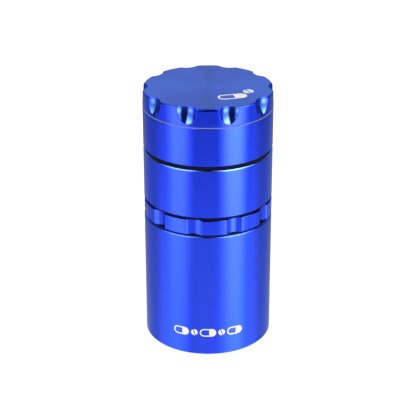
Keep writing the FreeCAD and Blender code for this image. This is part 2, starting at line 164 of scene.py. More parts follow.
def turnedGrid(rows, angles=None, cut=None, rimShoulder=None, neckShoulder=None):
    # Rows (radius, height, kind) carried round the axis. Where kind is -1 the radius is the smaller
    # of the row's and the neck thread's, and where it is 1 the larger of the row's and the rim's.
    if angles is None:
        angles = np.linspace(0, 2 * math.pi, stack["columns"], endpoint=False)[None]
    radius, up, kind = rows[:, 0:1], rows[:, 1:2], rows[:, 2:3]
    radius = radius + 0 * angles
    if neckShoulder is not None:
        neckRadius = threadRadius(up, angles, neckShoulder, False)
        radius = np.where(kind < 0, np.minimum(radius, neckRadius), radius)
    if rimShoulder is not None:
        rimRadius = threadRadius(up, angles, rimShoulder, True)
        radius = np.where(kind > 0, np.maximum(radius, rimRadius), radius)
    if cut is not None:
        radius = cut(radius, up, angles)
    up = up + 0 * radius
    return np.stack((radius * np.cos(angles), radius * np.sin(angles), up), axis=-1)


def gridFaces(rows, columns, loopColumns=True, loopRows=False):
    # Quads between neighbouring rows and columns of a grid.
    number = np.arange(rows * columns).reshape(rows, columns)
    if loopColumns:
        number = np.hstack((number, number[:, :1]))
    if loopRows:
        number = np.vstack((number, number[:1]))
    corners = number[:-1, :-1], number[:-1, 1:], number[1:, 1:], number[1:, :-1]
    return np.stack(corners, axis=-1).reshape(-1, 4)


def shell(*patches, weld=1e-5):
    # One closed skin from grids that meet edge to edge: points closer than the weld become one,
    # quads that lose a corner become triangles, and the faces are turned to enclose a positive volume.
    points, quads, first = [], [], 0
    for grid, loops in patches:
        rows, columns = grid.shape[:2]
        points.append(grid.reshape(-1, 3))
        quads.append(gridFaces(rows, columns, *loops) + first)
        first += rows * columns
    points, quads = np.vstack(points), np.vstack(quads)
    keys = np.round(points / weld / 10).astype(np.int64)
    firstSeen, number = np.unique(keys, axis=0, return_index=True, return_inverse=True)[1:]
    points, quads = points[firstSeen], number.reshape(-1)[quads]
    same = quads == np.roll(quads, -1, axis=1)
    pinched = same.sum(1) == 1
    triangles = quads[pinched][~same[pinched]].reshape(-1, 3)
    quads = quads[~same.any(1)]
    quads = quads[(quads[:, 0] != quads[:, 2]) & (quads[:, 1] != quads[:, 3])]
    volume = 0.0
    for faces in (quads[:, :3], quads[:, [0, 2, 3]], triangles):
        a, b, c = (points[faces[:, corner]] for corner in range(3))
        volume += np.einsum("ij,ij->i", a, np.cross(b, c)).sum()
    if volume < 0:
        quads, triangles = quads[:, ::-1], triangles[:, ::-1]
    return points, quads, triangles


def vertexNormals(points, quads, triangles):
    # Each point's normal is the sum of its faces' normals, each as long as its face is large.
    normals = np.zeros_like(points)
    across = np.cross(points[quads[:, 2]] - points[quads[:, 0]], points[quads[:, 3]] - points[quads[:, 1]])
    a, b, c = (points[triangles[:, corner]] for corner in range(3))
    for faces, areas in ((quads, across), (triangles, np.cross(b - a, c - a))):
        for axis in range(3):
            for corner in range(faces.shape[1]):
                normals[:, axis] += np.bincount(faces[:, corner], areas[:, axis], len(points))
    return normals / np.maximum(np.linalg.norm(normals, axis=1, keepdims=True), 1e-12)


def closed(grid, loops=(True, False), weld=1e-5):
    # One closed skin from a single grid: columns join up round, rows end at a point or close too.
    return shell((grid, loops), weld=weld)


def addPiece(name, shells, material, part, body):
    # Joins the shells into one object that stands for its CAD node and rides on its body.
    points, quads, triangles, first = [], [], [], 0
    for skin in shells:
        points.append(skin[0])
        quads.append(skin[1] + first)
        triangles.append(skin[2] + first)
        first += len(skin[0])
    points, quads, triangles = np.vstack(points), np.vstack(quads), np.vstack(triangles)
    mesh = bpy.data.meshes.new(name)
    mesh.from_pydata((points * mm).tolist(), [], quads.tolist() + triangles.tolist())
    mesh.polygons.foreach_set("use_smooth", np.ones(len(mesh.polygons), bool))
    mesh.normals_split_custom_set_from_vertices(vertexNormals(points, quads, triangles).tolist())
    mesh.materials.append(material)
    piece = bpy.data.objects.new(name, mesh)
    bpy.context.scene.collection.objects.link(piece)
    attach(piece, body)
    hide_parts(part)
    print("piece:", name, len(quads) * 2 + len(triangles), "triangles")
    return piece


class Shade:
    # Wraps a socket, so that sums and products of sockets write their own Math nodes.
    def __init__(self, tree, socket):
        self.tree = tree
        self.socket = socket

    def math(self, operation, *values):
        return node(self.tree, "ShaderNodeMath", {"operation": operation}, dict(enumerate((self, *values))))

    def __add__(self, other):
        return self.math("ADD", other)

    def __sub__(self, other):
        return self.math("SUBTRACT", other)

    def __rsub__(self, other):
        return node(self.tree, "ShaderNodeMath", {"operation": "SUBTRACT"}, {0: other, 1: self})

    def __mul__(self, other):
        return self.math("MULTIPLY", other)

    def __neg__(self):
        return self * -1.0

    def __abs__(self):
        return self.math("ABSOLUTE")

    __radd__ = __add__
    __rmul__ = __mul__


def node(tree, kind, settings=None, inputs=None, output=0):
    # Any node: its settings first, then values or links for its sockets; gives one output back.
    made = tree.nodes.new(kind)
    for key, setting in (settings or {}).items():
        setattr(made, key, setting)
    for key, entry in (inputs or {}).items():
        if isinstance(entry, Shade):
            tree.links.new(entry.socket, made.inputs[key])
        else:
            made.inputs[key].default_value = entry
    return Shade(tree, made.outputs[output])


def texturePlace(tree, kind):
    # Texture coordinates of one kind, as three sockets.
    coordinates = node(tree, "ShaderNodeTexCoord", output=kind)
    split = node(tree, "ShaderNodeSeparateXYZ", {}, {0: coordinates}).socket.node
    return [Shade(tree, split.outputs[axis]) for axis in range(3)]


def objectPlace(tree):
    # Object coordinates in millimetres.
    return [axis * 1000.0 for axis in texturePlace(tree, "Object")]


def vector(tree, place):
    # Three sockets as one vector.
    return node(tree, "ShaderNodeCombineXYZ", {}, dict(enumerate(place)))


def length(across, up):
    # Square root of the sum of the squares.
    return (across * across + up * up).math("SQRT")


def softStep(value, low, high, first, last):
    # Smooth step from a first level at low to a last level at high.
    return node(
        value.tree,
        "ShaderNodeMapRange",
        {"interpolation_type": "SMOOTHSTEP"},
        {"Value": value, "From Min": low, "From Max": high, "To Min": first, "To Max": last},
    )


def inside(distance, soft):
    # 1 where a signed distance is below zero and 0 above, over a soft edge.
    return softStep(distance, soft, -soft, 0.0, 1.0)


def between(value, low, high, soft):
    # Smooth step up at low and down at high.
    rise = softStep(value, low - soft, low + soft, 0.0, 1.0)
    return rise * softStep(value, high - soft, high + soft, 1.0, 0.0)


def mixColour(tree, share, first, second):
    # First colour where the share is 0, second where it is 1.
    return node(tree, "ShaderNodeMix", {"data_type": "RGBA"}, {0: share, 6: first, 7: second}, 2)


def noise(tree, place, scale, detail):
    # Soft noise in space, its scale in bumps a millimetre.
    sizes = {"Vector": vector(tree, place), "Scale": scale, "Detail": detail}
    return node(tree, "ShaderNodeTexNoise", {}, sizes)


def newMaterial(name, settings):
    # Empty material with a Principled shader; settings are the sockets that stay constant.
    material = bpy.data.materials.new(name)
    material.use_nodes = True
    tree = material.node_tree
    tree.nodes.clear()
    shader = node(tree, "ShaderNodeBsdfPrincipled", {}, settings)
    output = tree.nodes.new("ShaderNodeOutputMaterial")
    tree.links.new(shader.socket, output.inputs["Surface"])
    return material, tree, shader.socket.node


def feed(tree, shader, **sockets):
    # Links what varies over the surface; an underscore stands for a space in the socket's name.
    for key, entry in sockets.items():
        tree.links.new(entry.socket, shader.inputs[key.replace("_", " ")])


def alongTool(place):
    # Height plus 1.7 of the radius, which grows along a wall and along a face alike.
    x, y, z = place
    return z + length(x, y) * 1.7


def relief(tree, strength, distance, height):
    # Bump from a height, its distance in metres.
    return node(tree, "ShaderNodeBump", {}, {"Strength": strength, "Distance": distance, "Height": height})


def lines(tree, place, finest, seed):
    # Even rings round the axis, as a turning tool leaves: noise along the height on walls, where the
    # radius stays the same, and along the radius on faces, where the height does.
    sizes = {"W": alongTool(place) + seed, "Scale": 1.0 / finest, "Detail": 3.0, "Roughness": 0.65}
    return node(tree, "ShaderNodeTexNoise", {"noise_dimensions": "1D"}, sizes)


anodised = {
    "colour": (0.013, 0.062, 0.95, 1.0),
    "deepColour": (0.008, 0.038, 0.64, 1.0),
    "facedPaintedReflection": (0.060, 0.152, 0.72, 1.0),  # top face, turned with a coarser tool; its paler colour is a painted reflection of the light above
    "paintedFluteHighlight": (0.055, 0.145, 0.95, 1.0),  # inside the lid's flutes: the paler colour there is a painted highlight
    # Paler colour for a band of this width along a top edge: a painted highlight.
    "paintedEdgeHighlight": (0.17, 0.36, 0.97, 1.0),
    "paintedEdgeWidth": 0.62,
    "edgeTint": (0.5, 0.65, 1.0, 1.0),  # colour of the grazing reflection
    "roughness": 0.25,
    "facedRougher": 0.08,
    "milledSmoother": 0.06,
    "anisotropy": 0.82,
    "grainTurn": 0.25,  # a quarter turn: the highlight spreads across the tool marks
    "coat": 0.28,
    "coatRoughness": 0.12,
    "lineWidth": 0.22,
    "lineHeight": 0.0000012,
    "feed": 0.97,  # spacing of the visible tool marks
    "feedDepth": 0.55,
}
laserMark = {
    "colour": (0.90, 0.90, 0.88, 1.0),
    "frost": (0.78, 0.79, 0.80, 1.0),
    "roughness": 0.55,
    "line": 0.55,
    "soft": 0.05,
}


def dyed(colour, tint):
    # Red and green times the tint, blue kept: a lower tint is a deeper dye.
    return (colour[0] * tint, colour[1] * tint, colour[2], 1.0)


def anodisedMaterial(name, seed, tint, rougher=0.0, feedShare=1.0, **extras):
    # Dyed anodic layer over turned aluminium: its colour and roughness follow rings round the axis.
    # The extras are a laser mark given as a mask, the height above which a face is rougher and paler as a
    # painted reflection, the heights between which milled cuts inside the outer radius are smoother and paler
    # as a painted highlight, and an edge's top and the strength of a paler band there that is a painted
    # highlight.
    mark, faced, milled, edge = (extras.get(key) for key in ("mark", "faced", "milled", "edge"))
    settings = {
        "Metallic": 1.0,
        "Anisotropic": anodised["anisotropy"],
        "Anisotropic Rotation": anodised["grainTurn"],
        "Coat Roughness": anodised["coatRoughness"],
        "Coat IOR": 1.55,
        "Coat Weight": anodised["coat"],
        "Specular Tint": anodised["edgeTint"],
    }
    material, tree, shader = newMaterial(name, settings)
    place = objectPlace(tree)
    x, y, z = place
    out = length(x, y)
    rings = lines(tree, place, anodised["lineWidth"], seed)
    broad = lines(tree, place, anodised["lineWidth"] * 9, seed + 40.0)
    cloud = noise(tree, place, 0.16, 2.0)
    wave = (alongTool(place) * (2 * math.pi / anodised["feed"])).math("SINE") * 0.5 + 0.5
    marks = wave * (anodised["feedDepth"] * feedShare) + rings * 0.4 + cloud * 0.3
    colour = mixColour(tree, marks, dyed(anodised["deepColour"], tint), dyed(anodised["colour"], tint))
    roughness = anodised["roughness"] + rougher
    roughness = roughness + (rings - 0.5) * 0.10 + (broad - 0.5) * 0.08 + (cloud - 0.5) * 0.04
    bump = relief(tree, 0.35, anodised["lineHeight"], rings + broad * 0.5)
    if faced is not None:
        # Top face: rougher from the coarser tool, and a paler colour that is a painted reflection of the
        # light above.
        face = inside(faced - z, 0.06)
        paintedFaceReflection = mixColour(tree, rings * 0.15, anodised["facedPaintedReflection"], anodised["colour"])
        colour = mixColour(tree, face, colour, paintedFaceReflection)
        roughness = roughness + face * anodised["facedRougher"]
    if edge is not None:
        # A paler band under the edge's top, near the outer radius: a painted highlight, its share the
        # strength.
        top, share = edge
        width = anodised["paintedEdgeWidth"]
        edgeHighlightMask = inside(top - width - z, 0.12) * inside((bodyRadius - width) - out, 0.12) * share
        colour = mixColour(tree, edgeHighlightMask, colour, anodised["paintedEdgeHighlight"])
    if milled is not None:
        # Inside the flutes: smoother from milling, and a paler colour that is a painted highlight.
        low, high = milled
        smoothingAndPaintedHighlight = inside(low - z, 0.3) * inside(z - high, 0.3)
        smoothingAndPaintedHighlight = smoothingAndPaintedHighlight * inside(out - (bodyRadius - 0.15), 0.1) * inside((bodyRadius - 4) - out, 0.2)
        colour = mixColour(tree, smoothingAndPaintedHighlight, colour, anodised["paintedFluteHighlight"])
        roughness = roughness - smoothingAndPaintedHighlight * anodised["milledSmoother"]
    if mark is not None:
        mask = mark(tree, place)
        white = mixColour(tree, noise(tree, place, 6.0, 3.0), laserMark["colour"], laserMark["frost"])
        colour = mixColour(tree, mask, colour, white)
        roughness = roughness + mask * (laserMark["roughness"] - roughness)
        feed(tree, shader, Metallic=1.0 - mask * 0.9)
    feed(tree, shader, Base_Color=colour, Roughness=roughness, Normal=bump)
    return material


def capsuleShape(across, up, half, radius, line, soft):
    # Capsule with one half solid and the other an outline: distance to a straight spine less the
    # radius, and a thin gap where the halves meet.
    beyond = (abs(across) - half).math("MAXIMUM", 0.0)
    distance = length(beyond, up) - radius
    outline = inside(abs(distance + line / 2) - line / 2, soft)
    solid = inside(distance, soft) * inside(line * 0.9 - across, soft)
    return outline.math("MAXIMUM", solid)


def tabletShape(across, up, radius, line, soft):
    # Round tablet, solid but for a score line across it.
    score = inside(abs(across + up * 0.35) - line * 0.4, soft)
    return inside(length(across, up) - radius, soft) * (1.0 - score)


jarMark = {"height": 11.0, "step": 12.1, "radius": 1.9, "spine": 1.7, "tablet": 1.5}


def markOnJar(tree, place):
    # Capsules and tablets in turn, on the front of the jar, laid out along the arc.
    x, y, z = place
    arc = x.math("ARCTAN2", -y) * bodyRadius
    up = z - jarMark["height"]
    line, soft = laserMark["line"], laserMark["soft"]
    step, half, radius = jarMark["step"], jarMark["spine"], jarMark["radius"]
    mask = capsuleShape(arc, up, half, radius, line, soft)
    for side in (-step, step):
        mask = mask.math("MAXIMUM", capsuleShape(arc - side, up, half, radius, line, soft))
        mask = mask.math("MAXIMUM", tabletShape(arc - side / 2, up, jarMark["tablet"], line, soft))
    return mask * inside(y, 0.5) * inside(bodyRadius - 0.4 - length(x, y), 0.1)


lidMark = {
    "capsule": (10.2, -12.4),  # middles on the face
    "tablet": (17.0, -6.2),
    "turn": 14.0,
    "spine": 3.6,
    "radius": 2.7,
    "tabletRadius": 2.295,
    "line": 0.825,
}


def markOnLid(tree, place):
    # One capsule and one tablet on the top face, each about its own middle and turned by an angle.
    x, y, z = place
    line, soft = lidMark["line"], laserMark["soft"]
    cosine, sine = math.cos(math.radians(lidMark["turn"])), math.sin(math.radians(lidMark["turn"]))
    spots = []
    for middle in (lidMark["capsule"], lidMark["tablet"]):
        across, up = x - middle[0], y - middle[1]
        spots.append((across * cosine + up * sine, up * cosine - across * sine))
    capsule = capsuleShape(*spots[0], lidMark["spine"], lidMark["radius"], line, soft)
    tablet = tabletShape(*spots[1], lidMark["tabletRadius"], line, soft)
    return capsule.math("MAXIMUM", tablet) * inside(heights("lid")[1] - 0.3 - z, 0.05)


rubber = {"colour": (0.003, 0.003, 0.003, 1.0), "dust": (0.008, 0.008, 0.007, 1.0), "roughness": 0.55}


def rubberMaterial():
    # Moulded black rubber with a fine matt skin and a trace of dust.
    material, tree, shader = newMaterial("sealRubber", {"Specular IOR Level": 0.08})
    place = objectPlace(tree)
    grain, dust = noise(tree, place, 5.0, 4.0), noise(tree, place, 0.5, 2.0)
    colour = mixColour(tree, dust * 0.35, rubber["colour"], rubber["dust"])
    bump = relief(tree, 0.3, 0.00002, grain)
    feed(tree, shader, Base_Color=colour, Roughness=rubber["roughness"] + grain * 0.15, Normal=bump)
    return material


glide = {"colour": (0.17, 0.22, 0.34, 1.0), "worn": (0.22, 0.27, 0.38, 1.0), "roughness": 0.5}


def glideMaterial():
    # Grey low-friction polymer with faint wear rings.
    material, tree, shader = newMaterial("glidePolymer", {"Specular IOR Level": 0.15})
    place = objectPlace(tree)
    wear = lines(tree, place, 0.3, 11.0)
    speck = noise(tree, place, 2.5, 3.0)
    colour = mixColour(tree, wear * 0.5 + speck * 0.3, glide["colour"], glide["worn"])
    bump = relief(tree, 0.2, 0.00001, speck)
    feed(tree, shader, Base_Color=colour, Roughness=glide["roughness"] + wear * 0.1, Normal=bump)
    return material


def steelMaterial(name, colour, roughness, finest, anisotropy):
    # Bare or plated metal with fine rings and a soft variation of its polish.
    material, tree, shader = newMaterial(name, {"Metallic": 1.0, "Anisotropic": anisotropy})
    place = objectPlace(tree)
    rings = lines(tree, place, finest, 3.0)
    cloud = noise(tree, place, 0.7, 3.0)
    dull = tuple(part * 0.82 for part in colour[:3]) + (1.0,)
    mixed = mixColour(tree, rings * 0.4 + cloud * 0.4, colour, dull)
    roughness = roughness + (cloud - 0.5) * 0.12 + (rings - 0.5) * 0.06
    feed(tree, shader, Base_Color=mixed, Roughness=roughness, Normal=relief(tree, 0.25, 0.000002, rings))
    return material


# Top edges of the jar and chamber, each with the strength of its painted highlight.
jarEdgeHighlight, chamberEdgeHighlight = (heights("storage_jar")[1], 0.2), (heights("chamber")[1], 0.5)
blueJar = anodisedMaterial("anodisedJar", 0.0, 1.08, 0.11, 0.5, mark=markOnJar, edge=jarEdgeHighlight)
bluePowder = anodisedMaterial("anodisedPowderTray", 71.0, 0.9)
blueChamber = anodisedMaterial("anodisedChamber", 31.0, 0.85, feedShare=0.6, edge=chamberEdgeHighlight)
blueTray = anodisedMaterial("anodisedTray", 23.0, 0.8)
blackRubber = rubberMaterial()
greyPolymer = glideMaterial()
nickel = steelMaterial("magnetNickel", (0.72, 0.70, 0.66, 1.0), 0.20, 0.15, 0.3)
springSteel = steelMaterial("snapRingSteel", (0.55, 0.55, 0.54, 1.0), 0.32, 0.25, 0.5)
wireSteel = steelMaterial("sieveSteel", (0.62, 0.61, 0.58, 1.0), 0.28, 0.4, 0.0)
print("materials made")


def cutterGap(radius, angle, up, cutter):
    # Distance from a point to a wheel with a round rim, its centre straight out from the axis:
    # hypot(max(hypot(distance - x, drop) - hub, 0), y) - rim. With no hub and no drop it is an
    # upright round bar.
    drop = (cutter["top"] - up) * cutter["swept"]
    away = np.maximum(np.hypot(cutter["distance"] - radius * np.cos(angle), drop) - cutter["hub"], 0)
    return np.hypot(away, radius * np.sin(angle)) - cutter["rim"]


def cutterRadius(angle, up, cutter):
    # Radius at which a line from the axis meets the cutter, found by halving.
    step = 2 * math.pi / cutter["count"]
    angle = (angle - cutter["start"] + step / 2) % step - step / 2
    near = 0 * angle + cutter["distance"] - cutter["hub"] - cutter["rim"] - 0.5
    far = 0 * angle + bodyRadius * 1.02
    missed = cutterGap(far, angle, up, cutter) >= 0
    for turn in range(30):
        middle = (near + far) / 2
        within = cutterGap(middle, angle, up, cutter) < 0
        near, far = np.where(within, near, middle), np.where(within, middle, far)
    return np.where(missed, 1000.0, far)


def creaseAngle(radius, up, cutter):
    # Half angle over which the cutter bites into a round of that radius, 0 where it misses.
    low = 0 * radius * up
    high = low + math.pi / cutter["count"]
    for turn in range(40):
        middle = (low + high) / 2
        within = cutterGap(radius, middle, up, cutter) < 0
        low, high = np.where(within, middle, low), np.where(within, high, middle)
    return np.where(low < 1e-6, 0.0, low)


def sectorAngles(crease, cutter, inner=9, land=9):
    # Columns of one row set per crease angle: inside the cut, close to its edge, and on the land,
    # so that an edge always lies along columns. Columns with no room meet and are welded.
    near = cutter["near"] / bodyRadius
    half = math.pi / cutter["count"]
    crease = crease[:, None]
    inward = np.maximum(crease - near, 0) * np.linspace(0, 1, inner)[None, :]
    edge = np.maximum(crease + near * np.linspace(-1, 1, 5)[None, 1:], 0)
    outward = edge[:, -1:] + (half - edge[:, -1:]) * np.linspace(0, 1, land + 1)[None, 1:]
    right = np.hstack((inward, edge, outward))
    sector = np.hstack((-right[:, :0:-1], right[:, :-1]))
    steps = np.arange(cutter["count"]) * 2 * math.pi / cutter["count"]
    angles = sector[:, None, :] + steps[None, :, None] + cutter["start"]
    return angles.reshape(len(crease), -1)


def softCut(cutter, ease=None):
    # The smaller of the turned radius and the cutter's, eased over a short distance.
    def apply(radius, up, angles):
        bite = cutterRadius(angles, up, cutter)
        if ease is not None:
            bite = bite - ease
        return (radius + bite - np.sqrt((radius - bite) ** 2 + cutter["blend"] ** 2)) / 2

    return apply


# A shoulder is where the section above rests on the rim below it.
jarLow, jarRim = heights("storage_jar")
powderShoulder = heights("powder_tray")[0] + thread["neckLength"]
powderRim = heights("powder_tray")[1]
chamberShoulder = heights("chamber")[0] + thread["neckLength"]
chamberRim = heights("chamber")[1]
trayShoulder = heights("grinding_tray")[0] + thread["neckLength"]
lidTop = heights("lid")[1]


def neckProfile(shoulder):
    # From a neck's end up its outside, over the shoulder and on to the body wall.
    groove, edge = shoulder - thread["relief"], stack["edgeBreak"]
    relief = [(thread["neckMajor"], groove), (thread["neckRelief"], groove), (thread["neckRelief"], shoulder)]
    wall = [(bodyRadius - edge, shoulder), (bodyRadius, shoulder + edge), (bodyRadius, shoulder + edge * 3)]
    return [neckRows(shoulder), plainRows(relief + wall)]


def rimProfile(rim, shoulder, rounding=0.6):
    # From the body wall over the rounded edge and the flat rim, down the thread to its relief groove.
    floor = shoulder - thread["reach"] - thread["relief"] / 2
    major = thread["rimRelief"]
    edge = [(bodyRadius, rim - 1.4), (bodyRadius, rim, rounding), (major + 0.05, rim), (major, rim)]
    groove = [(boreRadius, floor + thread["relief"]), (major, floor + thread["relief"])]
    groove += [(major, floor), (boreRadius, floor)]
    return [plainRows(edge, 9), rimRows(rim, shoulder), plainRows(groove)]


jar = {"floor": 3.0, "fillet": 2.0, "footChamfer": 0.5}


def makeJar():
    # One turned skin: foot, wall, threaded rim, bore and rounded floor.
    foot, floor = jar["footChamfer"], jar["floor"]
    under = [(0, jarLow), (bodyRadius - foot, jarLow, 0.15), (bodyRadius, jarLow + foot, 0.15)]
    under += [(bodyRadius, jarLow + foot * 3)]
    bore = [(boreRadius, powderShoulder - thread["reach"] - thread["relief"])]
    bore += [(boreRadius, floor, jar["fillet"]), (0, floor)]
    rows = np.vstack([plainRows(under), *rimProfile(jarRim, powderShoulder), plainRows(bore, 8)])
    skin = closed(turnedGrid(rows, rimShoulder=powderShoulder))
    addPiece("storageJar", [skin], blueJar, "storage_jar", "jar")


scallops = {
    "count": 10,
    "start": math.radians(5.6),
    "depth": 1.3,
    "rim": 6.2,  # radius of each round cut
    "hub": 0.0,
    "top": 0.0,
    "swept": 0.0,  # straight up and down
    "blend": 0.05,
    "near": 0.12,
}
scallops["distance"] = bodyRadius - scallops["depth"] + scallops["rim"]
powderTray = {"floor": 1.8, "fillet": 1.5}


def makePowderTray():
    # One turned skin: threaded neck, scalloped ring, threaded rim and dish, with columns laid along
    # the edges of the scallops.
    low = powderShoulder - thread["neckLength"]
    ledge = chamberShoulder - thread["reach"] - thread["relief"] / 2
    floor = low + powderTray["floor"]
    dish = [(boreRadius, ledge), (neckInner, ledge, 0.2)]
    dish += [(neckInner, floor, powderTray["fillet"]), (0, floor)]
    under = plainRows([(0, low), (thread["neckRelief"], low)])
    rim = rimProfile(powderRim, chamberShoulder, 0.3)
    rows = np.vstack([under, *neckProfile(powderShoulder), *rim, plainRows(dish, 8)])
    edgeRadius = np.clip(rows[:, 0], bodyRadius - stack["rimChamfer"], bodyRadius)
    crease = creaseAngle(edgeRadius, rows[:, 1], scallops)
    angles = sectorAngles(crease, scallops, 8, 8)
    grid = turnedGrid(rows, angles, softCut(scallops), chamberShoulder, powderShoulder)
    skin = closed(grid)
    addPiece("powderTray", [skin], bluePowder, "powder_tray", "powder_tray")


sieve = {
    "ledge": 2.0,
    "grooveDepth": 0.6,
    "grooveClearance": 0.1,
    "edge": 0.1,  # wires and washer stop this far inside the walls
    "washerRounding": 0.08,
    "wire": 0.065,
    "wave": 0.068,
    "spacing": 0.9,
    "sides": 5,
    "opening": 9.0,  # of the snap ring
    "snapWidth": 2.0,
    "snapRounding": 0.15,
}


def makeChamber():
    # One turned skin, open at both ends: threaded neck, threaded rim, snap-ring groove and ledge.
    low = chamberShoulder - thread["neckLength"]
    ledge = chamberShoulder + sieve["ledge"]
    grooveLow, grooveHigh = heights("sieve_snap_ring")
    grooveHigh += sieve["grooveClearance"]
    groove = boreRadius + sieve["grooveDepth"]
    bore = [(boreRadius, trayShoulder - thread["reach"] - thread["relief"])]
    bore += [(boreRadius, grooveHigh), (groove, grooveHigh), (groove, grooveLow), (boreRadius, grooveLow)]
    bore += [(boreRadius, ledge), (neckInner, ledge)]
    under = plainRows([(neckInner, ledge), (neckInner, low), (thread["neckRelief"], low)])
    rim = rimProfile(chamberRim, trayShoulder)
    rows = np.vstack([under, *neckProfile(chamberShoulder), *rim, plainRows(bore)])
    skin = closed(turnedGrid(rows, rimShoulder=trayShoulder, neckShoulder=chamberShoulder))
    addPiece("chamber", [skin], blueChamber, "chamber", "chamber")


def ringSection(part, corners, material, body, name, steps=4):
    # Closed outline carried once round the axis.
    line = rounded(corners, steps, loop=True)
    rows = np.column_stack((line, np.zeros(len(line))))
    skin = closed(turnedGrid(rows), (True, True))
    addPiece(name, [skin], material, part, body)


def ringCorners(inner, outer, low, high, rounding):
    # Rectangle between two radii and two heights, all four corners rounded alike.
    return [(inner, low, rounding), (outer, low, rounding), (outer, high, rounding), (inner, high, rounding)]


def makeSieve():
    # Support washer, woven mesh and snap ring.
    low, high = heights("sieve_washer")
    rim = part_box("sieve_mesh")[1].x / mm
    corners = ringCorners(neckInner + sieve["edge"], rim, low, high, sieve["washerRounding"])
    ringSection("sieve_washer", corners, springSteel, "chamber", "sieveWasher")

    # Wires in two directions, each a thin tube whose centre line waves over and under the others,
    # by the wave times the cosine of pi times place over spacing, turned over on every second wire.
    low, high = heights("sieve_mesh")
    spacing, sides = sieve["spacing"], sieve["sides"]
    count = int(rim / spacing)
    offsets = np.arange(-count, count + 1) * spacing
    sign = np.where(np.arange(-count, count + 1) % 2 == 0, 1.0, -1.0)[:, None]
    chord = np.sqrt(np.maximum((rim - sieve["edge"]) ** 2 - offsets**2, 0.01))[:, None]
    places = np.clip(np.arange(-2 * count - 2, 2 * count + 3)[None] * spacing / 2, -chord, chord)
    turn = np.linspace(0, 2 * math.pi, sides, endpoint=False)
    skins = []
    for phase in (1.0, -1.0):
        wave = phase * sign * sieve["wave"] * np.cos(math.pi * places / spacing)
        thin = sieve["wire"] * np.ones_like(places)
        thin[:, 0] = thin[:, -1] = 0.0
        side = offsets[:, None, None] + thin[..., None] * np.cos(turn)
        lift = (low + high) / 2 + wave[..., None] + thin[..., None] * np.sin(turn)
        along = places[..., None] + 0 * side
        order = (along, side, lift) if phase > 0 else (side, along, lift)
        skins += [closed(wire, weld=1e-6) for wire in np.stack(order, axis=-1)]
    addPiece("sieveMesh", skins, wireSteel, "sieve_mesh", "chamber")

    # Snap ring: a section carried round from one end to the other, each end closed to a point.
    low, high = heights("sieve_snap_ring")
    outer = boreRadius + sieve["grooveDepth"] - sieve["grooveClearance"]
    inner = outer - sieve["snapWidth"]
    line = rounded(ringCorners(inner, outer, low, high, sieve["snapRounding"]), 4, loop=True)
    gap = math.asin(sieve["opening"] / 2 / inner)
    angles = math.pi / 2 + np.linspace(gap, 2 * math.pi - gap, 300)
    middle = np.array([(inner + outer) / 2, (low + high) / 2])
    end = np.tile(middle, (1, len(line), 1))
    section = np.concatenate((end, np.repeat(line[None], len(angles), 0), end))
    angles = np.concatenate((angles[:1], angles, angles[-1:]))[:, None]
    across, up = section[..., 0], section[..., 1]
    skin = closed(np.stack((across * np.cos(angles), across * np.sin(angles), up), axis=-1))
    addPiece("snapRing", [skin], springSteel, "sieve_snap_ring", "chamber")


seal = {"inner": 0.3, "recess": 0.5, "roundness": 0.45, "glideInner": 0.2, "glideEdge": 0.1}


def makeSeals():
    # Three O-rings, their sections rounded almost to a full curve.
    for place in ("jar", "chamber", "tray"):
        part, body, name = place + "_o_ring", place + "_seal", place + "Seal"
        low, high = heights(part)
        inner, outer = thread["neckMinor"] + seal["inner"], bodyRadius - seal["recess"]
        corners = ringCorners(inner, outer, low, high, (high - low) * seal["roundness"])
        ringSection(part, corners, blackRubber, body, name, 8)


def makeGlideRing():
    # Thin flat ring under the lid.
    low, high = heights("glide_ring")
    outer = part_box("glide_ring")[1].x / mm
    corners = ringCorners(boreRadius + seal["glideInner"], outer, low, high, seal["glideEdge"])
    ringSection("glide_ring", corners, greyPolymer, "glide_ring", "glideRing")


teeth = {
    "bossRadius": 6.6,
    "spigotInner": 22.988,
    "clearance": 0.8,
    "length": 4.4,
    "taper": 2.0,
    "height": 9.8,
    "sunk": 0.05,
    "tipEdge": 0.18,
}
teeth["step"] = (teeth["spigotInner"] - teeth["bossRadius"]) / 4
teeth["half"] = (teeth["step"] - teeth["clearance"]) / 2


def turned(x, y, z, turn):
    # Points turned round the axis by an angle.
    cosine, sine = math.cos(turn), math.sin(turn)
    return np.stack((x * cosine - y * sine, x * sine + y * cosine, z), axis=-1)


def toothRing(ring, count, start, level, direction):
    # Diamond outline with eased corners, drawn in by the taper as it rises, closed at both ends.
    half, long = teeth["half"], teeth["length"] / 2
    outline = rounded([(half, 0, 0.2), (0, long, 0.2), (-half, 0, 0.2), (0, -long, 0.2)], 4, loop=True)
    across = half * long / math.hypot(half, long)
    slope = math.tan(math.radians(teeth["taper"]))
    tall, edge = teeth["height"], teeth["tipEdge"]
    rise = np.array([-teeth["sunk"], -teeth["sunk"], 0, tall - edge, tall - edge * 0.3, tall, tall])
    drawn = np.array([across, 0, 0, 0, edge * 0.3, edge, across]) + slope * np.maximum(rise, 0)
    scale = np.maximum(1 - drawn / across, 0)
    skins = []
    radius = teeth["bossRadius"] + teeth["step"] * (ring + 0.5)
    for index in range(count):
        turn = math.radians(start) + index * 2 * math.pi / count
        x = radius + outline[None, :, 0] * scale[:, None]
        y = outline[None, :, 1] * scale[:, None]
        z = level + direction * rise[:, None] + 0 * x
        skins.append(closed(turned(x, y, z, turn)))
    return skins


magnet = {"radius": 4.5, "fit": 0.05, "edge": 0.25}


def makeMagnet(part, body, name):
    # Turned disc with a bevel at both ends.
    low, high = heights(part)
    edge = magnet["edge"]
    radius = magnet["radius"]
    lower = [(0, low), (radius - edge, low, 0.1), (radius, low + edge, 0.1)]
    upper = [(radius, high - edge, 0.1), (radius - edge, high, 0.1), (0, high)]
    rows = plainRows(lower + upper)
    addPiece(name, [closed(turnedGrid(rows))], nickel, part, body)


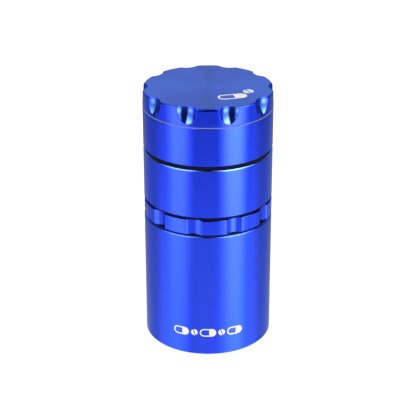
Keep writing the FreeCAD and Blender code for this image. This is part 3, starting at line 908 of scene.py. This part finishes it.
tray = {
    "rim": 106.75,
    "rimEdge": 0.15,
    "cupDepth": 6.25,
    "plate": 3.5,
    "hole": 1.8,
    "holeEdge": 0.12,
    "bands": (6.75, 10.6, 14.9, 18.85),  # radii between which the holes lie
    "holes": ((0, 8), (2, 16)),  # band, count
    "teeth": ((1, 8, 22.5), (3, 14, 0)),  # ring, count, first angle
}


def holeBand(ring, count, inner, outer, floor, under, columns):
    # Plate between two radii with one hole in each sector. Each hole's skin runs from the sector's
    # edge on the floor in to the hole, down its wall and out to the sector's edge underneath.
    middle = teeth["bossRadius"] + teeth["step"] * (ring + 0.5)
    half = math.pi / count
    arcs = columns // count
    sides = 12  # columns along each straight side of a sector
    arc = np.linspace(-half, half, arcs, endpoint=False)
    line = np.linspace(0, 1, sides, endpoint=False)
    edge = np.vstack(
        [
            np.column_stack((np.full(arcs, outer), arc)),
            np.column_stack((outer + (inner - outer) * line, np.full(sides, half))),
            np.column_stack((np.full(arcs, inner), -arc)),
            np.column_stack((inner + (outer - inner) * line, np.full(sides, -half))),
        ]
    )
    border = np.column_stack((edge[:, 0] * np.cos(edge[:, 1]), edge[:, 0] * np.sin(edge[:, 1])))
    around = np.arctan2(border[:, 1], border[:, 0] - middle)
    circle = np.column_stack((np.cos(around), np.sin(around)))
    radius, soft = tray["hole"], tray["holeEdge"]

    def ringAt(size):
        # Round outline about the hole's middle.
        return np.array([middle, 0.0]) + circle * size

    wide, eased, soften = ringAt(radius + soft), ringAt(radius + soft * 0.3), soft * 0.3
    flat = [(border, floor), ((border + wide) / 2, floor), (wide, floor), (eased, floor - soften)]
    wall = [(ringAt(radius), floor - soft), (ringAt(radius), under + soft)]
    back = [(eased, under + soften), (wide, under), ((border + wide) / 2, under), (border, under)]
    rows = flat + wall + back
    plane = np.stack([np.column_stack((points, np.full(len(points), up))) for points, up in rows])
    patches = []
    for index in range(count):
        turn = index * 2 * math.pi / count
        patches.append((turned(plane[..., 0], plane[..., 1], plane[..., 2], turn), (True, False)))
    return patches


def makeGrindingTray():
    # Threaded neck, wall, cup and boss as turned skins, joined at the bands of holes, and the teeth.
    low = trayShoulder - thread["neckLength"]
    rim = tray["rim"]
    floor = rim - tray["cupDepth"]
    under = floor - tray["plate"]
    bossTop = heights("tray_magnet")[1] + magnet["fit"]
    pocket = magnet["radius"] + magnet["fit"]
    bands, edge = tray["bands"], tray["rimEdge"]
    neck = [(bands[3], under), (neckInner, under, 0.3), (neckInner, low), (thread["neckRelief"], low)]
    cup = [(bodyRadius, rim - edge * 3), (bodyRadius, rim - edge), (bodyRadius - edge, rim)]
    cup += [(boreRadius + edge, rim), (boreRadius, rim - edge), (boreRadius, floor, 0.3), (bands[3], floor)]
    outside = np.vstack([plainRows(neck), *neckProfile(trayShoulder), plainRows(cup)])
    radius, pocketFloor = teeth["bossRadius"], heights("tray_magnet")[0]
    knob = [(bands[0], floor), (radius, floor, 0.1), (radius, bossTop, 0.1)]
    boss = plainRows(knob + [(pocket, bossTop), (pocket, pocketFloor), (0, pocketFloor)])
    middleTop = plainRows([(bands[2], floor), (bands[1], floor)])
    middleUnder = plainRows([(bands[1], under), (bands[2], under)])
    centre = plainRows([(0, under), (bands[0], under)])
    patches = [(turnedGrid(outside, neckShoulder=trayShoulder), (True, False))]
    patches += [(turnedGrid(rows), (True, False)) for rows in (boss, middleTop, middleUnder, centre)]
    for ring, count in tray["holes"]:
        patches += holeBand(ring, count, bands[ring], bands[ring + 1], floor, under, stack["columns"])
    skins = [shell(*patches)]
    for ring, count, start in tray["teeth"]:
        skins += toothRing(ring, count, start, floor, 1)
    addPiece("grindingTray", skins, blueTray, "grinding_tray", "grinding_tray")


lid = {
    "height": 8.0,
    "plate": 4.0,
    "fillet": 0.9,
    "spigotDepth": 4.0,
    "spigotClearance": 0.2,
    "fluteDepth": 2.4,
    "fluteDrop": 7.0,
    "ease": 0.05,  # drop of the last row below the face, which rounds the face's edge
    "band": 1.5,  # width inside the outer radius where the flutes have edges
    "facing": 0.12,  # depth of the paler turned face
    "face": (1, 0.985, 0.95, 0.85, 0.7, 0.5, 0.3, 0.12, 0),  # rows of the top face, edge to middle
    "teeth": ((0, 6, 30), (2, 10, 18)),  # ring, count, first angle
}
lid["sweep"] = (lid["fluteDrop"] ** 2 + lid["fluteDepth"] ** 2) / (2 * lid["fluteDepth"])
flutes = {
    "count": 10,
    "start": 0.0,
    "rim": 5.8,  # rounding of the wheel's own edge
    "distance": bodyRadius - lid["fluteDepth"] + lid["sweep"],
    "top": lidTop,
    "swept": 1.0,  # the wheel's curve shows in height
    "blend": 0.05,
    "near": 0.14,
}
flutes["hub"] = lid["sweep"] - flutes["rim"]


def fluteRows(low, high, steps):
    # Heights at which the flute's edge has opened by even steps, from its tip up to its full width.
    opened = creaseAngle(bodyRadius, high, flutes) * np.linspace(0, 1, steps + 1)
    inner = flutes["hub"] + np.sqrt(flutes["rim"] ** 2 - (bodyRadius * np.sin(opened)) ** 2)
    drop = np.sqrt(np.maximum(inner**2 - (flutes["distance"] - bodyRadius * np.cos(opened)) ** 2, 0))
    up = flutes["top"] - drop
    return up[(up > low) & (up < high)]


flutesAt = (lidTop - lid["fluteDrop"], lidTop - lid["fillet"])
facedAt = lidTop - lid["facing"]
# The lid's top face is paler as a painted reflection, and its flutes are paler as a painted highlight.
blueLid = anodisedMaterial("anodisedLid", 57.0, 0.7, mark=markOnLid, faced=facedAt, milled=flutesAt)


def makeLid():
    # Underside and spigot as one profile, then the wall and fillet cut by the flutes, the face and the
    # teeth.
    base = lidTop - lid["height"]
    ceiling = lidTop - lid["plate"]
    end = base - lid["spigotDepth"]
    edge = stack["edgeBreak"]
    spigot = boreRadius - lid["spigotClearance"]
    magnetLow, magnetHigh = heights("lid_magnet")
    bossEnd = magnetLow - magnet["fit"]
    pocket = magnet["radius"] + magnet["fit"]
    radius, inner = teeth["bossRadius"], teeth["spigotInner"]
    under = [(0, magnetHigh), (pocket, magnetHigh), (pocket, bossEnd)]
    under += [(radius, bossEnd, 0.1), (radius, ceiling, 0.1), (inner, ceiling, 0.3), (inner, end)]
    under += [(spigot - edge, end), (spigot, end + edge), (spigot, base), (bodyRadius - edge, base)]
    under = plainRows(under + [(bodyRadius, base + edge), (bodyRadius, base + edge * 3)])
    wallTop = lidTop - lid["fillet"]
    levels = fluteRows(base + edge * 3, wallTop - 0.01, 24)
    wall = np.column_stack((np.full(len(levels), bodyRadius), levels, np.zeros(len(levels))))
    turn = np.linspace(0, math.pi / 2, 9)
    edgeRadius = bodyRadius - lid["fillet"] * (1 - np.cos(turn))
    edgeUp = wallTop + lid["fillet"] * np.sin(turn)
    edgeUp[-1] = lidTop
    fillet = np.column_stack((edgeRadius, edgeUp, np.zeros(len(turn))))
    rows = np.vstack((under, wall, fillet[:-1], [[edgeRadius[-2] - 0.02, lidTop - lid["ease"], 0]]))
    rows = rows[np.concatenate(([True], np.any(np.abs(np.diff(rows[:, :2], axis=0)) > 1e-9, axis=1)))]
    least = bodyRadius - lid["band"]
    crease = creaseAngle(np.maximum(rows[:, 0], least), rows[:, 1], flutes)
    crease = np.where((rows[:, 0] > least) & (rows[:, 1] >= lidTop - lid["fluteDrop"]), crease, 0.0)
    angles = sectorAngles(crease, flutes)
    outer = turnedGrid(rows, angles, softCut(flutes))
    # The top face draws in from its own edge to the middle, so its rows keep the fluted outline.
    topAngles = sectorAngles(creaseAngle(edgeRadius[-1:], np.array([lidTop]), flutes), flutes)
    edgeRow = np.array([[edgeRadius[-1], lidTop, 0]])
    rimRow = turnedGrid(edgeRow, topAngles, softCut(flutes, lid["ease"]))[0]
    face = rimRow[None] * np.array(lid["face"])[:, None, None]
    face[..., 2] = lidTop
    skins = [closed(np.concatenate((outer, face)))]
    for ring, count, start in lid["teeth"]:
        skins += toothRing(ring, count, start, ceiling, -1)
    addPiece("lid", skins, blueLid, "lid", "lid")


makeJar()
makePowderTray()
makeChamber()
makeSieve()
makeSeals()
makeGrindingTray()
makeMagnet("tray_magnet", "grinding_tray", "trayMagnet")
makeGlideRing()
makeLid()
makeMagnet("lid_magnet", "lid", "lidMagnet")
print("pieces made")


studio = {
    "floor": (0.30, 0.30, 0.30, 1.0),
    "floorSpeck": (0.32, 0.32, 0.32, 1.0),
    "floorRadius": 3.0,
    "floorGlow": 2.85,
    "ambient": 1.0,
    # Panels seen in the metal. Each has its ends in degrees round from the camera's side to behind
    # and the softness of its edges. Near the ground come its brightness seen level and seen steeply,
    "low": {
        "front": (-90, 30, 8, 0.0, 2.3),
        "side": (34, 71, 13, 5.3, 0.0),
        "sideEdge": (66, 100, 13, 0.0, 1.3),
        "flank": (78, 118, 11, 0.207, 1.679),
        "quarter": (118, 152, 11, 0.264, 1.32),
        "behind": (152, 270, 10, 0.10, 1.3),
    },
    # and above it come its brightness, the heights it spans if not all, and its share elsewhere.
    "high": {
        "front": (-90, 29, 4, 0.03, None, 0.0),
        "side": (31, 88, 6, 7.5, (0.48, 0.92, 0.34), 0.07),
        "flank": (88, 150, 8, 0.07, None, 0.0),
        "behind": (130, 270, 16, 0.76, (0.0, 0.70, 0.12), 0.0),
    },
    "rightHalf": (0.0, 2.0, 0.25),
    "rightGain": 1.65,
    "rightShift": 5.0,
    "steep": (0.46, 2.0, 0.24),
    "skyline": (-0.08, 2.0, 0.12),
    "lens": 120.25,
    "distance": 10.963,  # in outside diameters
    "elevation": 24.917,
    "aim": 1.0410,
}


def makeFloor():
    # A wide disc, so that no edge shows from any side.
    turn = np.linspace(0, 2 * math.pi, 96, endpoint=False)
    radius = studio["floorRadius"]
    points = np.column_stack((radius * np.cos(turn), radius * np.sin(turn), 0 * turn))
    mesh = bpy.data.meshes.new("floor")
    mesh.from_pydata(points.tolist(), [], [list(range(len(points)))])
    glow = {"Emission Color": studio["floor"], "Emission Strength": studio["floorGlow"]}
    material, tree, shader = newMaterial("paleFloor", {"Roughness": 0.7, "Specular IOR Level": 0.1, **glow})
    speck = noise(tree, objectPlace(tree), 0.02, 2.0)
    feed(tree, shader, Base_Color=mixColour(tree, speck, studio["floor"], studio["floorSpeck"]))
    mesh.materials.append(material)
    floor = bpy.data.objects.new("floor", mesh)
    bpy.context.scene.collection.objects.link(floor)
    floor.visible_glossy = False


def makeWorld():
    # Studio walls as brightness by direction, alike to the left and right but for a gain and a shift on
    # the right. Each panel is its brightness times a soft band round the object, and the low panels give
    # way to the high ones across the skyline. Only glossy rays see them.
    world = bpy.data.worlds.new("studio")
    bpy.context.scene.world = world
    world.use_nodes = True
    tree = world.node_tree
    tree.nodes.clear()
    x, y, z = texturePlace(tree, "Generated")
    onRight = between(x, *studio["rightHalf"])
    around = abs(x.math("ARCTAN2", -y)) * (180 / math.pi)
    shifted = around + onRight * studio["rightShift"]
    right = onRight * (studio["rightGain"] - 1) + 1.0
    steep = between(-z, *studio["steep"])
    below, above = 0.0, 0.0
    for name, (start, end, soft, level, deep) in studio["low"].items():
        band = between(shifted if name == "side" else around, start, end, soft)
        panel = band * (steep * (deep - level) + level)
        below = below + (panel * right if name == "side" else panel)
    for name, (start, end, soft, level, span, least) in studio["high"].items():
        tall = 1.0 if span is None else between(z, *span) + least
        panel = between(around, start, end, soft) * (tall * level)
        above = above + (panel * right if name == "side" else panel)
    panels = below + between(z, *studio["skyline"]) * (above - below)
    plain, seen = (
        node(tree, "ShaderNodeBackground", {}, {"Color": (1, 1, 1, 1), "Strength": strength})
        for strength in (studio["ambient"], panels)
    )
    glossy = node(tree, "ShaderNodeLightPath", output="Is Glossy Ray")
    mixed = node(tree, "ShaderNodeMixShader", {}, {0: glossy, 1: plain, 2: seen})
    output = tree.nodes.new("ShaderNodeOutputWorld")
    tree.links.new(mixed.socket, output.inputs["Surface"])


def makeCamera():
    # Facing the axis at the aimed height, tilted down by the elevation, its distance in diameters.
    across = cadBox[1].x - cadBox[0].x
    camera = bpy.data.cameras.new("camera")
    camera.lens = studio["lens"]
    camera.sensor_width = 36.0
    camera.clip_start = 0.01
    camera.dof.use_dof = False
    seen = bpy.data.objects.new("camera", camera)
    tilt = math.radians(studio["elevation"])
    away = studio["distance"] * across
    seen.location = (0, -away * math.cos(tilt), studio["aim"] * across + away * math.sin(tilt))
    seen.rotation_euler = (math.pi / 2 - tilt, 0, 0)
    bpy.context.scene.collection.objects.link(seen)
    bpy.context.scene.camera = seen


makeFloor()
makeWorld()
makeCamera()
bpy.context.scene.view_settings.view_transform = "Standard"
print("floor, light and camera made")
